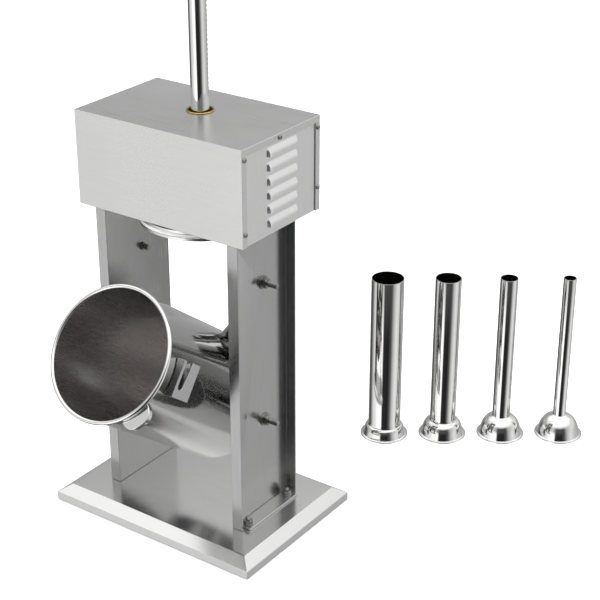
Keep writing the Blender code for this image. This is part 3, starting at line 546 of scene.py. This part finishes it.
# ------------------------------------------------------------------ head
def louvred_panel(side, name):
    """The head's end panel, pressed into six hooded louvres that open downwards."""
    face = side * (HEAD_X / 2 - SHEET - 0.0005)
    y_low, y_high = HEAD_MID_Y - HEAD_Y / 2 + 0.002, HEAD_MID_Y + HEAD_Y / 2 - 0.002
    z_low, z_high = HEAD_BOTTOM + 0.001, HEAD_TOP - SHEET - 0.001
    louvres, start_y, end_y = 6, -0.048, 0.033
    first, pitch, height, out = 0.5805, 0.0234, 0.0145, 0.0062
    across, down, end_share = 28, 9, 0.17
    ys = [y_low, start_y - MM] + [start_y + (end_y - start_y) * i / across for i in range(across + 1)]
    ys += [end_y + MM, y_high]
    zs = [z_low]
    for louvre in range(louvres):
        zs += [first + pitch * louvre + height * j / down for j in range(down + 1)]
    zs.append(z_high)
    bm = bmesh.new()
    flat = {}

    def vertex(i, j):
        if (i, j) not in flat:
            flat[i, j] = bm.verts.new((face, ys[i], zs[j]))
        return flat[i, j]

    raised = {}

    def hood(louvre, i, j):
        v = 1 - j / down
        u = abs(2 * (i / across) - 1)
        ends = 1.0 if u < 1 - end_share else math.sqrt(max(0.0, 1 - ((u - 1 + end_share) / end_share) ** 2))
        rise = out * ends * math.sin(math.pi / 2 * min(1.0, v * 1.25)) ** 1.2
        if rise < 1e-6:
            return vertex(i + 2, 1 + louvre * (down + 1) + j)
        key = (louvre, i, j)
        if key not in raised:
            level = zs[1 + louvre * (down + 1) + j]
            raised[key] = bm.verts.new((face + side * rise, ys[i + 2], level))
        return raised[key]

    for j in range(len(zs) - 1):
        block, row = divmod(j - 1, down + 1) if j else (-1, down)
        for i in range(len(ys) - 1):
            hooded = 2 <= i < across + 2 and j >= 1 and row < down and block < louvres
            if hooded:
                corners = [hood(block, i - 2, row), hood(block, i - 1, row), hood(block, i - 1, row + 1),
                           hood(block, i - 2, row + 1)]
            else:
                corners = [vertex(i, j), vertex(i + 1, j), vertex(i + 1, j + 1), vertex(i, j + 1)]
            if len(set(corners)) == 4:
                bm.faces.new(corners if side > 0 else list(reversed(corners)))
    bmesh.ops.transform(bm, matrix=STAND, verts=bm.verts)
    mesh = bpy.data.meshes.new(f"side_panel_{name}_piece")
    bm.to_mesh(mesh)
    bm.free()
    panel = piece(mesh.name, mesh, "frame", LIT_SIDE_STEEL, (f"side_panel_{name}",), 16)
    thick = panel.modifiers.new("Thickness", "SOLIDIFY")
    thick.thickness = 0.0011 * SIZE
    thick.offset = -1
    return shade(apply_modifiers(panel), 16)


def screw_mesh(name, radius):
    """A pan-head screw with a cross recess, its head up +Z from its seat."""
    dome = arc((radius - 0.0016, 0.0010), 0.0016, 0, 70, 5)
    profile = [(0, 0.0030), (radius * 0.45, 0.0029)] + list(reversed(dome))
    profile += [(radius, 0.0003), (radius, 0), (0, 0)]
    obj = bpy.data.objects.new(name, lathe_mesh(name, profile, SHRINK, "Z", 32))
    bpy.context.scene.collection.objects.link(obj)
    long_way, short_way = radius * 0.55, radius * 0.13
    carve(obj, box_mesh("slot", (-long_way, -short_way, 0.0012), (long_way, short_way, 0.01), SHRINK))
    carve(obj, box_mesh("slot", (-short_way, -long_way, 0.0012), (short_way, long_way, 0.01), SHRINK))
    mesh = obj.data
    bpy.data.objects.remove(obj)
    return mesh


def add_screw(name, mesh, place, normal, spin):
    turned_to = Vector(normal).to_track_quat("Z", "Y").to_matrix().to_4x4()
    copy = mesh.copy()
    copy.transform(Matrix.Translation(place) @ turned_to @ Matrix.Rotation(math.radians(spin), 4, "Z"))
    return piece(name, copy, "frame", ZINC, angle=25)


def make_head():
    refined("head_cover", HEAD_STEEL, 0.0007, 3)
    refined("rear_cover", HEAD_STEEL, 0.0005, 2)
    screw = screw_mesh("side_screw", 0.0040)
    right = HEAD_X / 2
    for side, name in ((-1, "left"), (1, "right")):
        louvred_panel(side, name)
        spots = (("front_top", -0.1075, 0.7105), ("front_bottom", -0.1075, 0.588),
                 ("middle_top", -0.016, 0.7215), ("rear_top", 0.0875, 0.7085),
                 ("rear_bottom", 0.0875, 0.606))
        for number, (spot, y, z) in enumerate(spots):
            place = at(side * right, y, z)
            add_screw(f"side_screw_{name}_{spot}", screw, place, (side, 0, 0), 17 * number)
    back = HEAD_MID_Y + HEAD_Y / 2
    for number, x in enumerate((-0.150, -0.050, 0.050, 0.150)):
        add_screw(f"rear_screw_top_{number}", screw, at(x, back, 0.708), (0, 1, 0), 23 * number)
        add_screw(f"rear_screw_bottom_{number}", screw, at(x, back, 0.573), (0, 1, 0), 31 * number)

    collar = [(0.0202, HEAD_TOP + 0.0016), (0.0210, HEAD_TOP + 0.0023), (0.0222, HEAD_TOP + 0.0023),
              (0.0232, HEAD_TOP + 0.0014), (0.0232, HEAD_TOP + 0.0003), (0.0205, HEAD_TOP + 0.0003),
              (0.0205, HEAD_TOP - 0.012), (0.0155, HEAD_TOP - 0.012), (0.0155, HEAD_TOP - 0.010),
              (0.0200, HEAD_TOP - 0.009)]
    piece("upper_rod_bush_piece", lathe_mesh("upper_rod_bush_piece", collar, STAND, "Z", 72, ring=True),
          "frame", BRASS, ("upper_rod_bush",), 35)
    for node, paint in (("lower_rod_bush", BRASS), ("head_chassis", DULL_ZINC),
                        ("gear_frame_left", DULL_ZINC), ("gear_frame_right", DULL_ZINC),
                        ("motor_bracket", DULL_ZINC), ("gear_motor", GEAR_IRON),
                        ("rack_pinion", GEAR_IRON), ("drive_wheel", GEAR_IRON), ("motor_pinion", GEAR_IRON),
                        ("pinion_shaft", CHROME), ("shaft_bearing_left", LIP_METAL),
                        ("shaft_bearing_right", LIP_METAL), ("speed_control_unit", BLACK)):
        NODES[node].data.materials.clear()
        NODES[node].data.materials.append(paint)
    make_controls()


def make_controls():
    """The knob, the rockers and the mains inlet on the rear cover."""
    face = HEAD_MID_Y + HEAD_Y / 2
    place = STAND @ Matrix.Translation((0.095, face, CONTROLS_Z))
    profile = [(0, 0.0214), (0.0125, 0.0214), (0.0135, 0.0220), (0.0150, 0.0220), (0.0160, 0.0210)]
    profile += [(0.0165, 0.0190), (0.0172, 0.0050), (0.0185, 0.0040), (0.0185, 0.0006)]
    profile += [(0.0040, 0.0006), (0.0040, -0.0118), (0, -0.0118)]
    knob = piece("speed_knob_piece", lathe_mesh("speed_knob_piece", profile, place, "Y", 96),
                 "speed_knob", BLACK, ("speed_knob",), 30)
    for groove in range(24):
        angle = math.radians(15 * groove)
        x, z = 0.0176 * math.cos(angle), 0.0176 * math.sin(angle)
        flute = [(0, 0.03), (0.0011, 0.03), (0.0011, 0.0056), (0, 0.0056)]
        cutter = lathe_mesh("groove", flute, place @ Matrix.Translation((x, 0, z)), "Y", 10)
        carve(knob, cutter)
    shade(knob, 30)
    pointer = box_mesh("knob_pointer", (-0.0008, 0.0208, 0.005), (0.0008, 0.0218, 0.0122), place)
    piece("knob_pointer", pointer, "speed_knob", WHITE_MARK)
    for tick in range(11):
        angle = math.radians(-135 + 27 * tick)
        turn = place @ Matrix.Rotation(angle, 4, "Y")
        length = 0.006 if tick % 5 == 0 else 0.004
        low, high = (-0.0005, 0.00005, 0.0215), (0.0005, 0.0004, 0.0215 + length)
        piece(f"speed_mark_{tick}", box_mesh(f"speed_mark_{tick}", low, high, turn), "frame", BLACK)
    for node, x in (("power_switch", 0.030), ("direction_switch", -0.030)):
        refined(node, ROCKER, 0.0005, 3)
        spot = STAND @ Matrix.Translation((x, face, CONTROLS_Z))
        rim = box_mesh(f"{node}_bezel", (-0.0135, 0.0001, -0.0185), (0.0135, 0.0022, 0.0185), spot)
        bezel = piece(f"{node}_bezel", rim, "frame", BLACK)
        carve(bezel, box_mesh("window", (-0.0106, -0.01, -0.0162), (0.0106, 0.01, 0.0162), spot))
        rounded(shade(bezel), 0.0004, 2)
        bar = box_mesh(f"{node}_mark", (-0.0004, 0.0035, 0.0045), (0.0004, 0.00412, 0.0095), spot)
        piece(f"{node}_mark", bar, node, WHITE_MARK)
        off = [(0.0017, 0.00412), (0.0024, 0.00412), (0.0024, 0.0036), (0.0017, 0.0036)]
        below = spot @ Matrix.Translation((0, 0, -0.007))
        ring = lathe_mesh(f"{node}_ring", off, below, "Y", 32, ring=True)
        piece(f"{node}_ring", ring, node, WHITE_MARK)
    refined("mains_inlet", BLACK, 0.0004, 2)
    inlet_low, inlet_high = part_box("mains_inlet")
    centre = (inlet_low + inlet_high) / 2
    for number, (dx, dz) in enumerate(((-0.0042, -0.0012), (0.0042, -0.0012), (0, 0.0022))):
        x, z = centre.x + dx, centre.z + dz
        blade = box_mesh(f"inlet_blade_{number}", (x - 0.0005, inlet_high.y - 0.0085, z - 0.0016),
                         (x + 0.0005, inlet_high.y - 0.0030, z + 0.0016), Matrix.Identity(4))
        piece(f"inlet_blade_{number}", blade, "frame", BRASS)


# ------------------------------------------------------------------ stuffing tubes
def make_tubes():
    sizes = (("40mm", 0.0308, 0.0206), ("32mm", 0.0246, 0.0292),
             ("22mm", 0.0169, 0.0362), ("16mm", 0.0123, 0.0378))
    wall, flange, dome, height = 0.0015, 0.0454, 0.0394, 0.329
    for size, outer, rise in sizes:
        node = f"stuffing_tube_{size}"
        low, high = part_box(node)
        middle = (low + high) / 2
        place = Matrix.Translation(Vector((middle.x, middle.y, 0))) @ SHRINK
        bore = outer - wall
        shoulder = []
        for degrees in (8, 15, 24, 34, 45, 56, 67, 78):
            angle = math.radians(degrees)
            shoulder.append((outer + (dome - outer) * math.sin(angle), rise * math.cos(angle) + wall))
        inside = [(r - wall, z - wall) for r, z in reversed(shoulder)]
        profile = [(bore, height), (outer - 0.0003, height), (outer, height - 0.0004)]
        profile += [(outer, rise + 0.0075), (outer + 0.0004, rise + 0.0035)] + shoulder
        profile += [(dome + 0.0012, wall + 0.0008), (dome + 0.003, wall), (flange - 0.0005, wall)]
        profile += [(flange, wall * 0.6), (flange, 0), (dome - wall, 0)] + inside + [(bore, rise + 0.0045)]
        mesh = lathe_mesh(node, profile, place, "Z", 96, ring=True)
        piece(node + "_piece", mesh, node, TUBE_METAL, (node,), 42)


# ------------------------------------------------------------------ studio
# what stands round the machine: compass degrees from +X, and brightness
SURROUNDINGS = ((-180, 0.05), (-166, 0.20), (-146, 0.85), (-122, 1.05), (-100, 1.60), (-84, 1.50),
                (-76, 0.03), (-42, 0.02), (-26, 0.12), (-10, 0.62), (10, 1.00), (34, 0.72),
                (52, 0.62), (80, 0.45), (120, 0.50), (150, 0.35), (180, 0.05))
OVERHEAD = ((-180, 0.55), (-140, 0.62), (-95, 0.70), (-76, 0.10), (-28, 0.08), (-8, 0.60),
            (25, 0.95), (78, 0.90), (108, 0.50), (135, 0.38), (160, 0.45), (180, 0.55))
ZENITH, NADIR = 1.45, 0.08


def card(name, centre, size, facing, strength):
    """An area light: a soft box that faces a point."""
    light = bpy.data.lights.new(name, "AREA")
    light.shape = "RECTANGLE"
    light.size, light.size_y = size
    light.energy = strength
    obj = bpy.data.objects.new(name, light)
    obj.location = centre
    obj.rotation_euler = (Vector(facing) - Vector(centre)).to_track_quat("-Z", "Y").to_euler()
    obj.visible_glossy = False
    bpy.context.scene.collection.objects.link(obj)
    return obj


def make_surroundings():
    """Soft boxes and dark flags all round, by compass direction, under an even ceiling."""
    world = bpy.data.worlds.new("studio")
    world.use_nodes = True
    bpy.context.scene.world = world
    nodes, links = world.node_tree.nodes, world.node_tree.links
    place = nodes.new("ShaderNodeTexCoord")
    split = nodes.new("ShaderNodeSeparateXYZ")
    links.new(place.outputs["Generated"], split.inputs["Vector"])
    compass = add(nodes, links, split.outputs["Y"], split.outputs["X"], "ARCTAN2")
    around = spread(nodes, links, compass, -math.pi, math.pi, 0.0, 1.0)
    rings = []
    for ring in (SURROUNDINGS, OVERHEAD):
        stops = [((degrees + 180) / 360, (level, level, level)) for degrees, level in ring]
        rings.append(ramp(nodes, links, around, stops))
    tones = []
    for level in (NADIR, ZENITH):
        tone = nodes.new("ShaderNodeRGB")
        tone.outputs["Color"].default_value = (level, level, level, 1)
        tones.append(tone.outputs["Color"])
    below = tones[0]
    for above, start, end in ((rings[0], -0.80, -0.56), (rings[1], -0.05, 0.25), (tones[1], 0.48, 0.74)):
        mixer = nodes.new("ShaderNodeMix")
        mixer.data_type = "RGBA"
        links.new(spread(nodes, links, split.outputs["Z"], start, end, 0.0, 1.0), mixer.inputs["Factor"])
        links.new(below, mixer.inputs["A"])
        links.new(above, mixer.inputs["B"])
        below = mixer.outputs["Result"]
    ray = nodes.new("ShaderNodeLightPath")
    backdrop = nodes.new("ShaderNodeMix")
    backdrop.data_type = "RGBA"
    backdrop.inputs["B"].default_value = (1, 1, 1, 1)
    links.new(ray.outputs["Is Camera Ray"], backdrop.inputs["Factor"])
    links.new(below, backdrop.inputs["A"])
    links.new(backdrop.outputs["Result"], nodes["Background"].inputs["Color"])


def make_studio():
    bm = bmesh.new()
    bmesh.ops.create_grid(bm, x_segments=2, y_segments=2, size=14)
    mesh = bpy.data.meshes.new("studio_floor")
    bm.to_mesh(mesh)
    bm.free()
    floor = bpy.data.objects.new("studio_floor", mesh)
    bpy.context.scene.collection.objects.link(floor)
    made, nodes, links, shader = new_material("studio_floor_paint")
    shader.inputs["Roughness"].default_value = 0.6
    shader.inputs["Specular IOR Level"].default_value = 0.0
    shader.inputs["Emission Color"].default_value = (1, 1, 1, 1)
    shader.inputs["Emission Strength"].default_value = 0.22
    broad = noise(nodes, links, (1, 1, 1), 1.2, 2.0, 0.5)
    links.new(ramp(nodes, links, broad, ((0.3, (0.87, 0.87, 0.87)), (0.7, (0.89, 0.89, 0.89)))),
              shader.inputs["Base Color"])
    # the metal mirrors the soft boxes of the studio, not the floor
    ray = nodes.new("ShaderNodeLightPath")
    clear = nodes.new("ShaderNodeBsdfTransparent")
    mixer = nodes.new("ShaderNodeMixShader")
    links.new(ray.outputs["Is Glossy Ray"], mixer.inputs[0])
    links.new(shader.outputs["BSDF"], mixer.inputs[1])
    links.new(clear.outputs["BSDF"], mixer.inputs[2])
    links.new(mixer.outputs["Shader"], nodes["Material Output"].inputs["Surface"])
    floor.data.materials.append(made)
    make_surroundings()

    centre = at(0, 0, 0.40)
    card("key_left", centre + Vector((-1.3, -1.3, 1.5)), (1.2, 1.2), centre, 30)
    card("fill_right", centre + Vector((1.8, 0.4, 1.2)), (0.9, 1.4), centre, 16)
    card("top", centre + Vector((0.1, 0.3, 1.9)), (1.4, 1.0), centre, 22)

    camera = bpy.data.cameras.new("camera")
    camera.lens = 93.51
    camera.sensor_width = 36
    obj = bpy.data.objects.new("camera", camera)
    obj.location = at(1.51720, -1.86469, 1.53597)
    obj.rotation_euler = (math.pi / 2 - 0.446204, 0, 0.616071)
    bpy.context.scene.collection.objects.link(obj)
    bpy.context.scene.camera = obj
    bpy.context.scene.view_settings.view_transform = "Standard"


make_base()
make_columns()
make_cylinder()
make_piston()
make_head()
make_tubes()
make_studio()
